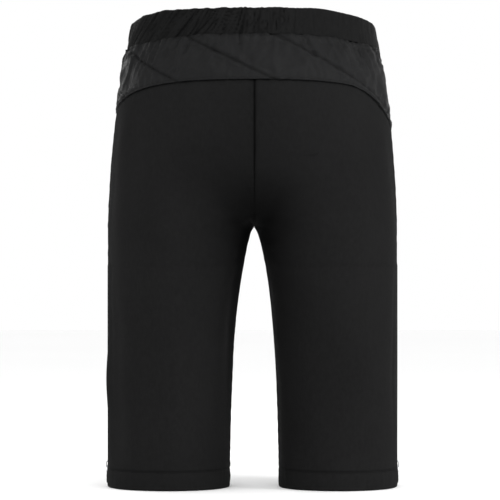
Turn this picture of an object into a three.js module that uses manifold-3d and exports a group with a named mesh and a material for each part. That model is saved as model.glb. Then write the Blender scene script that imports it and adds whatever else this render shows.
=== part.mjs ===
// Padded impact shorts, worn shape, in millimetres. +Z up, the wearer faces -Y, wearer's left is +X.
// The origin is on the floor under the middle of the shorts; the two hems stand on z = 0.
// Every fabric piece follows one outer skin, given by skinPoint(), at a stated depth below it.
import * as THREE from "three";
import { mergeVertices } from "three/addons/utils/BufferGeometryUtils.js";
import Module from "manifold-3d";

const wasm = await Module();
wasm.setup();

// Driving dimensions of the worn shape.
const SIDE_HEIGHT = 558; // side seam, hem to top of waistband
const BACK_RISE = 9.5; // centre back top above the side top
const FRONT_DROP = 30; // centre front top below the side top
const CROTCH_HEIGHT = 312;
const SEAT_HEIGHT = 372; // level on the side seam where the seat starts to turn under
const SEAT_CENTRE = 392; // centre seam height at that level
const HALF_WIDTH = 173.4; // side seam from the middle, at thigh and hip
const TAPER_START = 300; // level where it starts to narrow
const WAIST_TAPER = 24; // how much of it is lost from there to the waistband seam
const BAND_TAPER = 5; // how much more over the waistband
const SEAT_DEPTH = 125; // centre back seam behind the middle
const SEAT_TO_WAIST = 27; // how much of it is lost at the waist
const BELLY_DEPTH = 110; // centre front seam in front of the middle
const BELLY_TO_WAIST = 12;
const TRUNK_START = 380; // level above which the centre seams lean in
const HEM_DEPTH = 78; // half depth of the leg opening
const BACK_THIGH = 28; // how much deeper the leg is at the crotch, behind and in front
const FRONT_THIGH = 22;
const LEG_GAP = 28; // final half gap between the legs, less the rounding at the crotch
const CROTCH_ROUND = 2.5; // that rounding

const BAND_HEIGHT = 29;
const BAND_SEAM = SIDE_HEIGHT - BAND_HEIGHT;
const YOKE_SIDE = 447; // seam between yoke and lower panels, at the side and above it at the centre
const YOKE_RISE = 25;
const HEM_TURN = 22; // depth of the turned hem
const SEAM_GAP = 0.15; // half of the gap kept between neighbouring pieces

const PANEL = 2; // thickness of the softshell panels
const QUILT = { cloth: [0, 1.2], wadding: [1.6, 4.6], lining: [5, 6] };
const WAIST_WALL = { cloth: 1.2, inner: 6, elastic: [1.7, 4.2], clearance: 2 }; // depths below the skin
const ZIP = { bottom: 18, top: 258, halfOpening: 5.2, tapeEdge: 15, face: 168.5 };
const TAPE = { from: 3.2, to: 13.8, halfThickness: 0.3, bottom: 3, aboveTop: 8 };
const TEETH = { from: 0.6, to: 2.9, inner: 1.3, outer: 1.6 };
const STOP = { proud: 0.2, gap: 0.3, hem: 3.3, end: 3.2 };
const GUARD = { halfWidth: 13, far: 5.6, near: 4.8 };
const SLIDER = { low: 20, length: 13, halfWidth: 4.3, wall: 1.4, hingeHeight: 25, hingeFace: 174 };
const PULL = { wire: 0.5, half: 2.4, drop: 7, tabHalf: 3, tabTop: 5.2, tabBottom: 21, tabThickness: 2.2 };
const PAD_DEPTH = 5; // below the skin
const PAD_OVER = 0.8; // between a pad and its pocket
const PAD_EDGE = 2; // thickness of a pad's edge
const POCKET = 0.8; // thickness of the pocket mesh
const LABEL = { depth: [8, 8.5], below: [42, 4], from: 0.9 };

// Stations round each face, from the side seam (0) to the centre seam or inseam (1).
const stationAt = (distance) => Math.asin(distance / HEM_DEPTH) / Math.PI;
const ZIP_EDGE = stationAt(ZIP.halfOpening);
const TAPE_EDGE = stationAt(ZIP.tapeEdge);
const ROUND = [0, TAPE_EDGE, 0.12, 0.19, 0.26, 0.34, 0.42, 0.5, 0.58, 0.66, 0.74, 0.82, 0.88, 0.94, 1];
const LEG_LEVELS = [0, HEM_TURN, 70, 125, 180, 230, 262, 270, 290, 303, CROTCH_HEIGHT];
const SEAT_LEVELS = [320, 330, 342, 356, SEAT_HEIGHT, 395, 420];

const BACK = 1;
const FRONT = -1;
const SIDES = [["left", 1], ["right", -1]];

const lerp = (a, b, t) => a + (b - a) * t;
const smooth = (t) => THREE.MathUtils.smoothstep(t, 0, 1);
const clamp01 = (t) => THREE.MathUtils.clamp(t, 0, 1);
const range = (n) => Array.from({ length: n + 1 }, (_, i) => i);
const fromTo = (a, b, n) => range(n).map((i) => lerp(a, b, i / n));

// ---- the outer skin -------------------------------------------------------

function sideSeamX(h) {
  const hip = clamp01((h - TAPER_START) / (BAND_SEAM + 5 - TAPER_START));
  const band = Math.max(0, (h - BAND_SEAM) / BAND_HEIGHT);
  return HALF_WIDTH - WAIST_TAPER * hip ** 1.9 - BAND_TAPER * band ** 1.3;
}

function inseamX(h) {
  const below = Math.max(0, CROTCH_HEIGHT - h);
  return LEG_GAP * (1 - Math.exp(-below / 95)) + CROTCH_ROUND * (1 - Math.exp(-below / 5));
}

function centreDepth(face, h) {
  const up = Math.max(0, (h - TRUNK_START) / (SIDE_HEIGHT - TRUNK_START));
  return face === BACK ? SEAT_DEPTH - SEAT_TO_WAIST * up ** 1.6 : BELLY_DEPTH - BELLY_TO_WAIST * up ** 2;
}

function thighDepth(face, h) {
  const up = clamp01(h / CROTCH_HEIGHT);
  return HEM_DEPTH + (face === BACK ? BACK_THIGH * up ** 1.3 : FRONT_THIGH * up ** 1.2);
}

// Height of the centre seam where the side seam is at h.
function centreHeight(face, h) {
  const up = clamp01((h - SEAT_HEIGHT) / (SIDE_HEIGHT - SEAT_HEIGHT));
  const top = face === BACK ? SIDE_HEIGHT + BACK_RISE : SIDE_HEIGHT - FRONT_DROP;
  return lerp(SEAT_CENTRE, top, up);
}

// Inner end of a level: on the centre seam, on the crotch curve, or on the inseam.
function innerEnd(face, h) {
  if (h <= CROTCH_HEIGHT) return new THREE.Vector3(inseamX(h), 0, h);
  if (h >= SEAT_HEIGHT) return new THREE.Vector3(0, face * centreDepth(face, h), centreHeight(face, h));
  const turn = (Math.PI / 2) * ((h - CROTCH_HEIGHT) / (SEAT_HEIGHT - CROTCH_HEIGHT));
  const y = face * centreDepth(face, h) * Math.sin(turn) ** 0.9;
  return new THREE.Vector3(0, y, SEAT_CENTRE - (SEAT_CENTRE - CROTCH_HEIGHT) * Math.cos(turn));
}

// Point of the skin on the wearer's left half.
function skinPoint(face, s, h) {
  const end = innerEnd(face, h);
  const split = smooth((SEAT_CENTRE - h) / (SEAT_CENTRE - CROTCH_HEIGHT)); // 0 trunk, 1 leg
  const outer = sideSeamX(h);
  const quarter = (Math.PI / 2) * s;
  const trunkY = (1 - split) * centreDepth(face, h);
  const x = (1 - split) * outer * Math.cos(quarter)
    + split * (end.x + (outer - end.x) * (0.5 + 0.5 * Math.cos(Math.PI * s)));
  const y = trunkY * Math.sin(quarter) + split * thighDepth(face, h) * Math.sin(Math.PI * s)
    + (Math.abs(end.y) - trunkY) * s ** (3 + 4 * split);
  const sine = Math.sin(quarter);
  const climb = face === BACK ? 1 - (1 - sine) ** 2 : (19 * sine + 11 * sine ** 2) / 30; // 0 at the side, 1 at the centre
  return new THREE.Vector3(x, face * y, lerp(h, end.z, climb));
}

function skinNormal(face, s, h) {
  const low = Math.max(0, h - 0.8);
  const high = h + 0.8;
  if (s === 1 && h >= CROTCH_HEIGHT) {
    const up = innerEnd(face, high).sub(innerEnd(face, Math.max(low, CROTCH_HEIGHT)));
    return new THREE.Vector3(0, face * up.z, -face * up.y).normalize();
  }
  const along = skinPoint(face, Math.min(1, s + 0.004), h).sub(skinPoint(face, Math.max(0, s - 0.004), h));
  const up = skinPoint(face, s, high).sub(skinPoint(face, s, low));
  const normal = along.cross(up).multiplyScalar(face);
  if (s === 0 || s === 1) normal.y = 0;
  if (h < HEM_TURN + 1) normal.z = 0;
  return normal.normalize();
}

// Point at a depth below the skin, on the stated side.
function under(side, face, s, h, depth) {
  const p = skinPoint(face, s, h).addScaledVector(skinNormal(face, s, h), -depth);
  return new THREE.Vector3(side * p.x, p.y, p.z);
}

// ---- solids from rings of points -------------------------------------------

// Joins loops of equal length; an open run is capped by strips between its two walls.
// Both walls of an open run are split along the same diagonals, so a thin layer stays even.
function loft(loops, closed) {
  const count = loops[0].length;
  const index = [];
  const quad = (a, b, c, d) => index.push(a, b, c, a, c, d);
  const runs = closed ? loops.length : loops.length - 1;
  for (let r = 0; r < runs; r++) {
    const row = r * count;
    const next = ((r + 1) % loops.length) * count;
    for (let k = 0; k < count; k++) {
      const k1 = (k + 1) % count;
      if (!closed && k >= count / 2) quad(row + k1, next + k1, next + k, row + k);
      else quad(row + k, row + k1, next + k1, next + k);
    }
  }
  if (!closed) {
    const last = (loops.length - 1) * count;
    for (let k = 0; k < count / 2 - 1; k++) {
      const back = count - 1 - k;
      quad(k, back, back - 1, k + 1);
      quad(last + k, last + k + 1, last + back - 1, last + back);
    }
  }
  const geometry = new THREE.BufferGeometry();
  geometry.setAttribute("position", new THREE.Float32BufferAttribute(
    loops.flat().flatMap((p) => [p.x, p.y, p.z]), 3));
  geometry.setIndex(index);
  return outward(geometry);
}

function signedVolume(geometry) {
  const { array } = geometry.attributes.position;
  const at = (i) => new THREE.Vector3().fromArray(array, 3 * i);
  let total = 0;
  for (let i = 0; i < geometry.index.count; i += 3) {
    const [a, b, c] = [0, 1, 2].map((k) => at(geometry.index.getX(i + k)));
    total += a.dot(b.cross(c)) / 6;
  }
  return total;
}

// Turns every face round when the solid is inside out.
function outward(geometry) {
  if (signedVolume(geometry) > 0) return geometry;
  const { array } = geometry.index;
  for (let i = 0; i < array.length; i += 3) [array[i + 1], array[i + 2]] = [array[i + 2], array[i + 1]];
  return geometry;
}

// A curved layer: place(r, c) gives its near and far points.
function layer(rows, columns, place) {
  const loops = rows.map((r) => {
    const pairs = columns.map((c) => place(r, c));
    return [...pairs.map(([near]) => near), ...pairs.map(([, far]) => far).reverse()];
  });
  return loft(loops, false);
}

function box(x, y, z) {
  const geometry = new THREE.BoxGeometry(x[1] - x[0], y[1] - y[0], z[1] - z[0]);
  return geometry.translate((x[0] + x[1]) / 2, (y[0] + y[1]) / 2, (z[0] + z[1]) / 2);
}

function bare(geometry) {
  const copy = geometry.clone();
  copy.deleteAttribute("normal");
  copy.deleteAttribute("uv");
  return mergeVertices(copy, 1e-4);
}

function toManifold(geometry) {
  const merged = bare(geometry);
  return new wasm.Manifold(new wasm.Mesh({
    numProp: 3,
    vertProperties: new Float32Array(merged.attributes.position.array),
    triVerts: new Uint32Array(merged.index.array),
  }));
}

function fromManifold(solid) {
  const mesh = solid.getMesh();
  const geometry = new THREE.BufferGeometry();
  geometry.setAttribute("position", new THREE.Float32BufferAttribute(mesh.vertProperties, 3));
  geometry.setIndex([...mesh.triVerts]);
  return geometry;
}

const union = (parts) => fromManifold(parts.map(toManifold).reduce((sum, part) => sum.add(part)));
const cut = (whole, tool) => fromManifold(toManifold(whole).subtract(toManifold(tool)));

// ---- materials ----------------------------------------------------------------

const cloth = (color, roughness = 0.9) => new THREE.MeshStandardMaterial({ color, roughness, metalness: 0 });
const MATERIAL = {
  softshell: cloth(0x1f1f20, 0.85),
  quilting: cloth(0x29292b, 0.7),
  wadding: cloth(0xb9b9b4, 1),
  lining: cloth(0x232325, 0.8),
  band: cloth(0x222223, 0.8),
  elastic: cloth(0x2b2b2c, 0.9),
  tape: cloth(0x1a1a1b, 0.9),
  foam: cloth(0x3a3c40, 0.95),
  mesh: cloth(0x262628, 0.9),
  label: cloth(0xd9d9d6, 0.8),
  teeth: new THREE.MeshStandardMaterial({ color: 0x19191a, roughness: 0.45, metalness: 0 }),
  metal: new THREE.MeshStandardMaterial({ color: 0x55565a, roughness: 0.35, metalness: 1 }),
};

const shorts = new THREE.Group();

function add(name, geometry, material) {
  const mesh = new THREE.Mesh(geometry, material);
  mesh.name = name;
  shorts.add(mesh);
}

function addMirrored(name, geometry, side, material) {
  add(name, outward(bare(geometry).scale(side, 1, 1)), material);
}

// ---- shell panels ----------------------------------------------------------------

// Level of the seam between yoke and lower panels: low at the side, flat across the back.
const yokeSeam = (s) => YOKE_SIDE + YOKE_RISE * (1 - (1 - s) ** 2.5);

// Where the panel's side edge lies: clear of the zip below its top, on the side seam above it.
const sideEdge = (h) => lerp(ZIP_EDGE, 0, smooth((h - ZIP.top - 4) / 8));

function keepClear(p, side, face) {
  if (side * p.x < SEAM_GAP) p.x = side * SEAM_GAP;
  if (face * p.y < SEAM_GAP) p.y = face * SEAM_GAP;
  return p;
}

function lowerPanel(side, face) {
  const levels = [...LEG_LEVELS, ...SEAT_LEVELS, null];
  return layer(levels, ROUND, (level, s) => {
    const h = level ?? yokeSeam(s) - SEAM_GAP;
    const at = s === 0 ? sideEdge(h) : s;
    return [0, PANEL].map((depth) => keepClear(under(side, face, at, h, depth), side, face));
  });
}

// Stations across both halves, from one side seam over the centre to the other.
const ACROSS = [
  ...ROUND.map((s) => ({ side: 1, s })),
  ...ROUND.slice(0, -1).reverse().map((s) => ({ side: -1, s })),
];

function yokeLayer(face, [near, far]) {
  return layer(range(3), ACROSS, (row, { side, s }) => {
    const h = lerp(yokeSeam(s) + SEAM_GAP, BAND_SEAM - SEAM_GAP, row / 3);
    return [near, far].map((depth) => {
      const p = under(side, face, s, h, depth);
      if (face * p.y < SEAM_GAP) p.y = face * SEAM_GAP;
      return p;
    });
  });
}

function addShell() {
  for (const [word, side] of SIDES) {
    add(`back_panel_${word}`, lowerPanel(side, BACK), MATERIAL.softshell);
    add(`front_panel_${word}`, lowerPanel(side, FRONT), MATERIAL.softshell);
  }
  for (const [word, face] of [["back", BACK], ["front", FRONT]]) {
    add(`${word}_yoke`, yokeLayer(face, QUILT.cloth), MATERIAL.quilting);
    add(`${word}_yoke_wadding`, yokeLayer(face, QUILT.wadding), MATERIAL.wadding);
    add(`${word}_yoke_lining`, yokeLayer(face, QUILT.lining), MATERIAL.lining);
  }
}

// ---- waistband ----------------------------------------------------------------

// All the way round the waist, back then front.
const WAIST = [
  ...ACROSS.map((at) => ({ ...at, face: BACK })),
  ...ACROSS.slice(1, -1).reverse().map((at) => ({ ...at, face: FRONT })),
];

// A ring round the waist with a section given as [height above the band seam, depth] points.
function waistRing(section) {
  return loft(WAIST.map(({ side, face, s }) =>
    section.map(([rise, depth]) => under(side, face, s, BAND_SEAM + rise, depth))), true);
}

function addWaistband() {
  const top = BAND_HEIGHT;
  const { cloth: wall, inner, elastic: [near, far], clearance } = WAIST_WALL;
  const casing = [
    [SEAM_GAP, 0], [top, 0], [top, inner], [SEAM_GAP, inner],
    [SEAM_GAP, inner - wall], [top - wall, inner - wall], [top - wall, wall], [SEAM_GAP, wall],
  ];
  add("waistband_casing", waistRing(casing), MATERIAL.band);
  const elastic = [[clearance, near], [top - clearance, near], [top - clearance, far], [clearance, far]];
  add("waist_elastic", waistRing(elastic), MATERIAL.elastic);
}

// ---- hems -----------------------------------------------------------------------

function addHemFacings() {
  const stations = ROUND.slice(1);
  const around = [
    ...stations.map((s) => ({ face: BACK, s })),
    ...stations.slice(0, -1).reverse().map((s) => ({ face: FRONT, s })),
  ];
  for (const [word, side] of SIDES) {
    const facing = layer([0.6, HEM_TURN], around, (h, { face, s }) =>
      [PANEL + 0.5, PANEL + 1.5].map((depth) => under(side, face, s, h, depth)));
    add(`hem_facing_${word}`, facing, MATERIAL.softshell);
  }
}

// ---- side zips ---------------------------------------------------------------------

function addZips() {
  const { face, bottom, top } = ZIP;
  const tooth = [face - TEETH.inner, face + TEETH.outer];
  const metal = [tooth[0] - STOP.proud, tooth[1] + STOP.proud];
  const run = [TAPE.bottom, top + TAPE.aboveTop];
  const tape = [face - TAPE.halfThickness, face + TAPE.halfThickness];
  for (const [word, side] of SIDES) {
    for (const [where, way] of [["front", -1], ["back", 1]]) {
      const span = (a, b) => (way > 0 ? [a, b] : [-b, -a]);
      const hemStop = [bottom - STOP.gap - STOP.hem, bottom - STOP.gap];
      addMirrored(`zip_tape_${where}_${word}`, box(tape, span(TAPE.from, TAPE.to), run), side, MATERIAL.tape);
      addMirrored(`zip_teeth_${where}_${word}`,
        box(tooth, span(TEETH.from, TEETH.to), [bottom, top]), side, MATERIAL.teeth);
      addMirrored(`zip_hem_stop_${where}_${word}`,
        box(metal, span(TEETH.from - 0.1, TEETH.to), hemStop), side, MATERIAL.metal);
    }
    const endStop = [top + STOP.gap, top + STOP.gap + STOP.end];
    addMirrored(`zip_end_stop_${word}`, box(metal, [-TEETH.to, TEETH.to], endStop), side, MATERIAL.metal);
    addMirrored(`zip_guard_${word}`,
      box([face - GUARD.far, face - GUARD.near], [-GUARD.halfWidth, GUARD.halfWidth], run), side, MATERIAL.lining);
  }
}

// Two plates joined by a thin divider, flanges over the teeth and a bridge for the pull.
function sliderBody() {
  const { low, length, halfWidth, wall } = SLIDER;
  const high = low + length;
  const outer = [ZIP.face + 2.1, ZIP.face + 2.1 + wall];
  const inner = [ZIP.face - 1.8 - wall, ZIP.face - 1.8];
  const whole = [low, high];
  const parts = [
    box(outer, [-halfWidth, halfWidth], whole),
    box(inner, [-halfWidth, halfWidth], whole),
    box([inner[1] - 0.1, outer[0] + 0.1], [-0.3, 0.3], [low, low + 4]),
  ];
  for (const way of [-1, 1]) {
    const flange = way > 0 ? [halfWidth - 1, halfWidth] : [-halfWidth, 1 - halfWidth];
    parts.push(box([ZIP.face + 0.7, outer[0] + 0.1], flange, whole));
    parts.push(box([inner[1] - 0.1, ZIP.face - 0.7], flange, whole));
  }
  const bridge = cut(
    box([outer[1] - 0.1, outer[1] + 4], [-0.9, 0.9], [low + 2, high - 1]),
    box([outer[1] + 0.1, outer[1] + 3.1], [-2, 2], [low + 3, high - 2]),
  );
  return union([...parts, bridge]);
}

// Wire loop: a bar under the bridge, two arms and a bottom bar that carries the tab.
function pullLoop() {
  const { hingeHeight: z, hingeFace: x } = SLIDER;
  const { wire, half, drop } = PULL;
  const thick = [x - wire, x + wire];
  const bar = (height) => box(thick, [-half, half], [height - wire, height + wire]);
  const arm = (way) => {
    const span = way > 0 ? [half - 2 * wire, half] : [-half, 2 * wire - half];
    return box(thick, span, [z - drop, z + wire]);
  };
  return union([bar(z), bar(z - drop), arm(1), arm(-1)]);
}

// Moulded tab, forked round the loop's bottom bar.
function pullTab() {
  const { hingeHeight: z, hingeFace: x } = SLIDER;
  const { wire, drop, tabHalf, tabTop, tabBottom, tabThickness } = PULL;
  const tab = box([x - tabThickness / 2, x + tabThickness / 2], [-tabHalf, tabHalf], [z - tabBottom, z - tabTop]);
  const slot = wire + 0.3; // room round the wire
  return cut(tab, box([x - slot, x + slot], [-tabHalf - 1, tabHalf + 1], [z - drop - slot, z - tabTop + 0.2]));
}

function addSliders() {
  for (const [word, side] of SIDES) {
    addMirrored(`zip_slider_${word}`, sliderBody(), side, MATERIAL.metal);
    addMirrored(`zip_pull_loop_${word}`, pullLoop(), side, MATERIAL.metal);
    addMirrored(`zip_pull_tab_${word}`, pullTab(), side, MATERIAL.tape);
  }
}

// ---- pads in their mesh pockets -------------------------------------------------------

// A pad is laid out on stations across it and levels down it; ease() thins it towards its edges.
const ease = (t) => Math.sqrt(Math.sin(Math.PI * lerp(0.12, 0.88, t)));

function padSolid(stations, levels, near, thickness) {
  const rows = range(levels.length - 1);
  const columns = range(stations.length - 1);
  return layer(rows, columns, (r, c) => {
    const { side, face, s } = stations[c];
    const full = ease(r / (levels.length - 1)) * ease(c / (stations.length - 1));
    return [near, near + PAD_EDGE + (thickness - PAD_EDGE) * full].map((depth) => under(side, face, s, levels[r], depth));
  });
}

// The pocket lies on the panel at its rim and passes over the pad in the middle.
function pocketSolid(stations, levels, near, over) {
  const rim = (k, n) => k === 0 || k === n;
  const rows = range(levels.length - 1);
  const columns = range(stations.length - 1);
  return layer(rows, columns, (r, c) => {
    const { side, face, s } = stations[c];
    const depth = rim(r, rows.length - 1) || rim(c, columns.length - 1) ? near : over;
    return [depth, depth + POCKET].map((d) => under(side, face, s, levels[r], d));
  });
}

// Adds a pad and its pocket; side mirrors the ones that were laid out on the left.
function addPad(name, side, stations, levels, thickness, margin) {
  addMirrored(`${name}_pad`, padSolid(stations, levels, PAD_DEPTH, thickness), side, MATERIAL.foam);
  const first = stations[0];
  const last = stations[stations.length - 1];
  const wider = [
    { ...first, s: first.s + margin.first }, ...stations, { ...last, s: last.s + margin.last },
  ];
  const taller = [levels[0] - margin.level, ...levels, levels[levels.length - 1] + margin.level];
  const pocket = pocketSolid(wider, taller, PAD_DEPTH - 0.6, PAD_DEPTH + thickness + PAD_OVER);
  addMirrored(`${name}_pad_pocket`, pocket, side, MATERIAL.mesh);
}

function addPads() {
  const seat = [0.74, 0.82, 0.88, 0.94];
  const across = [
    ...seat.map((s) => ({ side: 1, face: BACK, s })),
    { side: 1, face: BACK, s: 1 },
    ...[...seat].reverse().map((s) => ({ side: -1, face: BACK, s })),
  ];
  addPad("tailbone", 1, across, fromTo(380, 432, 4), 10, { first: -0.08, last: -0.08, level: 9 });
  const hip = [
    ...[0.3, 0.22, 0.14, 0.07].map((s) => ({ side: 1, face: FRONT, s })),
    ...[0, 0.07, 0.14, 0.22, 0.3].map((s) => ({ side: 1, face: BACK, s })),
  ];
  const thigh = fromTo(0.2, 0.62, 6).map((s) => ({ side: 1, face: FRONT, s }));
  for (const [word, side] of SIDES) {
    addPad(`hip_${word}`, side, hip, fromTo(302, 418, 6), 9, { first: 0.056, last: 0.056, level: 12 });
    addPad(`thigh_${word}`, side, thigh, fromTo(110, 262, 5), 8, { first: -0.05, last: 0.05, level: 10 });
  }
}

// ---- care label inside the back ----------------------------------------------------------

function addLabel() {
  const stations = fromTo(LABEL.from, 1, 2).map((s) => ({ side: 1, s }));
  const levels = LABEL.below.map((drop) => BAND_SEAM - drop);
  const label = layer(levels, stations, (h, { side, s }) =>
    LABEL.depth.map((depth) => under(side, BACK, s, h, depth)));
  add("care_label", label, MATERIAL.label);
}

addShell();
addWaistband();
addHemFacings();
addZips();
addSliders();
addPads();
addLabel();

shorts.position.y = (BELLY_DEPTH - SEAT_DEPTH) / 2; // middle of the bounding box

export default shorts;
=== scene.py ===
import math

import bmesh
import bpy
import numpy as np
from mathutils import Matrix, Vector


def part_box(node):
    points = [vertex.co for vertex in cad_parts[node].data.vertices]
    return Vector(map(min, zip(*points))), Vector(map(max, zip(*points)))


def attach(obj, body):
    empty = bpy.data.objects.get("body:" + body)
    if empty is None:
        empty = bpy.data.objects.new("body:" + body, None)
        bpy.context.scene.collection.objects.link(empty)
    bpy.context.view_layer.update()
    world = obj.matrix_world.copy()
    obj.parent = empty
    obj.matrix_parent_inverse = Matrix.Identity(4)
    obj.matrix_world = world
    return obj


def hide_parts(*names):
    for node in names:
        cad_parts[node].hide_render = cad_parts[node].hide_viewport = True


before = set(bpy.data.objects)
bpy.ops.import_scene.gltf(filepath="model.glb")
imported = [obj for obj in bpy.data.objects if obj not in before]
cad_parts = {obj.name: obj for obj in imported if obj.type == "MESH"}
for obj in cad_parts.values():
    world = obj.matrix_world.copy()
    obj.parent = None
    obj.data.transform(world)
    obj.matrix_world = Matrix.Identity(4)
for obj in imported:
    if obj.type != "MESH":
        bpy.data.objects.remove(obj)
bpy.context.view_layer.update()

# ---- driving dimensions of the worn shape, in metres ----

SOLID_GAP = 0.00015  # half of the gap that the solids keep at every seam
TURN_IN = 0.0045  # how far a sewn edge turns in behind its seam
TURN_STEPS = (0.0008, 0.0020, 0.0032, TURN_IN)
BACK, FRONT = 1, -1
SIDES = {"left": 1, "right": -1}
FACES = {"back": BACK, "front": FRONT}

_seat_low, _seat_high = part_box("back_panel_left")
SIDE_X = _seat_high.x
MIDDLE_Y = _seat_low.y - SOLID_GAP
SEAT_DEPTH = _seat_high.y - MIDDLE_Y
BELLY_DEPTH = MIDDLE_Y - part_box("front_panel_left")[0].y
BACK_RISE = 0.0095
FRONT_DROP = 0.030
SIDE_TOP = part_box("waistband_casing")[1].z - BACK_RISE
BAND_HEIGHT = 0.029
BAND_SEAM = SIDE_TOP - BAND_HEIGHT
CROTCH = 0.312
SEAT_LEVEL = 0.372
SEAT_CENTRE = 0.392
WAIST_TAPER = 0.024
HEM_DEPTH = 0.078
HIP_LEVEL = 0.300
BODY_TAPER_LEVEL = 0.380  # above this the seat and belly draw in to the waist
SEAT_TAPER, BELLY_TAPER = 0.027, 0.012
BAND_TAPER = 0.005
BACK_THIGH, FRONT_THIGH = 0.028, 0.022  # how much deeper than the hem a leg is at the crotch
LEG_GAP = 0.028
HEM_TURN = 0.022
ZIP_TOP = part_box("zip_end_stop_left")[1].z
ZIP_HALF_OPENING = 0.0052
ZIP_STITCHING = 0.0066  # distance of the stitches from the zip's edge
YOKE_SIDE = 0.447
YOKE_RISE = 0.025
YOKE_RIGHT_DROP = 0.0195
CLOTH = 0.0011  # softshell thickness
PAD_DEPTH, POCKET_DEPTH, BINDING_DEPTH = 0.0052, 0.0050, 0.0046  # behind the skin
PAD_CELL = 0.021
CENTRE_X = -0.0022  # the centre seams sit a little to the wearer's right

CREASES = (  # distance to the left of the centre, length and depth of each crease under the waistband
    (0.0168, 0.024, 0.0013),
    (0.0388, 0.016, 0.0006),
    (-0.0197, 0.014, 0.0010),
    (0.0560, 0.020, 0.0005),
)
QUILT_SLOPE = 0.49  # fall of the quilt lines across the cloth, towards the wearer's right
QUILT_LEVEL = 0.484
QUILT_CHANNEL = 0.0019
YOKE_LAYERS = {"cloth": (0.0, 0.0008), "wadding_fill": (0.0011, 0.0040), "lining_cloth": (0.0043, 0.0050)}
QUILT_LINES = {BACK: (-0.242, -0.128, -0.018, 0.102, 0.220), FRONT: (-0.190, -0.072, 0.046, 0.164, 0.282)}


def smooth(t):
    t = np.clip(t, 0, 1)
    return t * t * (3 - 2 * t)


def bell(distance, width):
    return np.exp(-((distance / width) ** 2))


def waves(points, size, seed, count=20):
    """A smooth random field, about -1 to 1, whose features have the stated size along x, y and z."""
    rng = np.random.default_rng(seed)
    direction = rng.normal(size=(count, points.shape[-1]))
    direction /= np.linalg.norm(direction, axis=1, keepdims=True)
    direction *= rng.uniform(0.6, 1.3, (count, 1))
    phase = rng.uniform(0, 2 * np.pi, count)
    turns = (points / np.array(size)) @ direction.T
    return np.cos(2 * np.pi * turns + phase).sum(-1) / math.sqrt(count / 2) / 1.6


# ---- the outer skin of the garment ----


def side_x(h):
    hip = np.clip((h - HIP_LEVEL) / (BAND_SEAM + 0.005 - HIP_LEVEL), 0, 1)
    band = np.maximum(0, (h - BAND_SEAM) / BAND_HEIGHT)
    return SIDE_X - WAIST_TAPER * hip**1.9 - BAND_TAPER * band**1.3


def inseam_x(h):
    below = np.maximum(0, CROTCH - h)
    return LEG_GAP * (1 - np.exp(-below / 0.095)) + 0.0025 * (1 - np.exp(-below / 0.005))


def centre_depth(face, h):
    up = np.maximum(0, (h - BODY_TAPER_LEVEL) / (SIDE_TOP - BODY_TAPER_LEVEL))
    return SEAT_DEPTH - SEAT_TAPER * up**1.6 if face == BACK else BELLY_DEPTH - BELLY_TAPER * up**2


def thigh_depth(face, h):
    up = np.clip(h / CROTCH, 0, 1)
    return HEM_DEPTH + (BACK_THIGH * up**1.3 if face == BACK else FRONT_THIGH * up**1.2)


def inner_end(face, h):
    """Where a level ends: on the centre seam, on the crotch curve, or on the inseam."""
    top = SIDE_TOP + (BACK_RISE if face == BACK else -FRONT_DROP)
    rise = np.clip((h - SEAT_LEVEL) / (SIDE_TOP - SEAT_LEVEL), 0, 1)
    turn = np.pi / 2 * np.clip((h - CROTCH) / (SEAT_LEVEL - CROTCH), 0, 1)
    y = centre_depth(face, h) * np.sin(turn) ** 0.9
    on_curve = SEAT_CENTRE - (SEAT_CENTRE - CROTCH) * np.cos(turn)
    z = np.where(h >= SEAT_LEVEL, SEAT_CENTRE + (top - SEAT_CENTRE) * rise, on_curve)
    leg = h <= CROTCH
    return np.where(leg, inseam_x(h), 0), np.where(leg, 0, y), np.where(leg, h, z)


def skin(face, side, s, h):
    """Points of the skin: s from the side seam (0) to the centre seam or inseam (1), h up the side seam."""
    s, h = np.broadcast_arrays(np.asarray(s, float), np.asarray(h, float))
    end_x, end_y, end_z = inner_end(face, h)
    split = smooth((SEAT_CENTRE - h) / (SEAT_CENTRE - CROTCH))
    outer = side_x(h)
    quarter = np.pi / 2 * s
    trunk = (1 - split) * centre_depth(face, h)
    x = (1 - split) * outer * np.cos(quarter) + split * (
        end_x + (outer - end_x) * (0.5 + 0.5 * np.cos(np.pi * s))
    )
    y = (
        trunk * np.sin(quarter)
        + split * thigh_depth(face, h) * np.sin(np.pi * s)
        + (end_y - trunk) * s ** (3 + 4 * split)
    )
    sine = np.sin(quarter)
    climb = 1 - (1 - sine) ** 2 if face == BACK else (19 * sine + 11 * sine**2) / 30
    x = side * x + CENTRE_X * (1 - np.minimum(1, x / SIDE_X) ** 2)
    return np.stack([x, MIDDLE_Y + face * y, h + (end_z - h) * climb], -1)


def yoke_seam(s, side):
    """Level of the seam under a yoke: flat over the centre, falling to the sides, and lower on the right."""
    level = YOKE_SIDE + YOKE_RISE * (1 - (1 - s) ** 2.5) - 0.0045 * smooth(s / 0.25)
    return level - np.where(side < 0, YOKE_RIGHT_DROP, 0) * (1 - smooth((s - 0.06) / 0.46))


def band_edge(s):
    """Level of the waistband's lower edge on the cloth, a little deeper towards the sides."""
    return BAND_SEAM - 0.0050 - 0.0060 * (1 - smooth((s - 0.35) / 0.45))


def even_stations(count, face, h, lowest=0.0):
    """Values of s at even distances along one level."""
    fine = np.linspace(lowest, 1, 600)
    steps = np.linalg.norm(np.diff(skin(face, 1, fine, h), axis=0), axis=1)
    length = np.concatenate([[0], np.cumsum(steps)])
    return np.interp(np.linspace(0, length[-1], count), length, fine)


# ---- grids of points ----


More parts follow.
